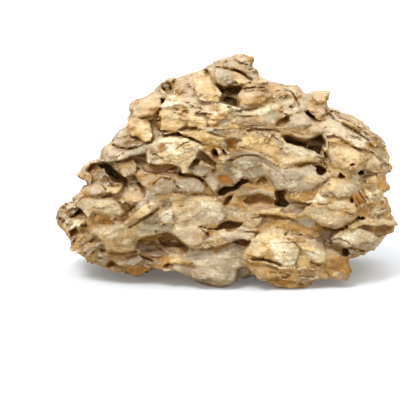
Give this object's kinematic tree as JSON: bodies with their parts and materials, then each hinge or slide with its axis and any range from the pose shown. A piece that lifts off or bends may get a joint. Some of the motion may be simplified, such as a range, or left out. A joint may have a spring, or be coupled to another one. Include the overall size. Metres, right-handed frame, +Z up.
{
  "type": "dragon stone",
  "caption": "Free-standing block of weathered fossil clay with layered plates, ledges, pits and caves, resting on small flat feet.",
  "frame": {"origin": "on the floor, under the middle of the stone's bounding box", "axes": "+X along the length, towards the horned end; -Y out of the front face seen in the picture; +Z up"},
  "size_m": [0.2992, 0.1826, 0.194],
  "materials": {
    "stone": "dry, rough clay stone"
  },
  "bodies": {
    "root": {"dragon_stone": "stone"}
  },
  "joints": []
}
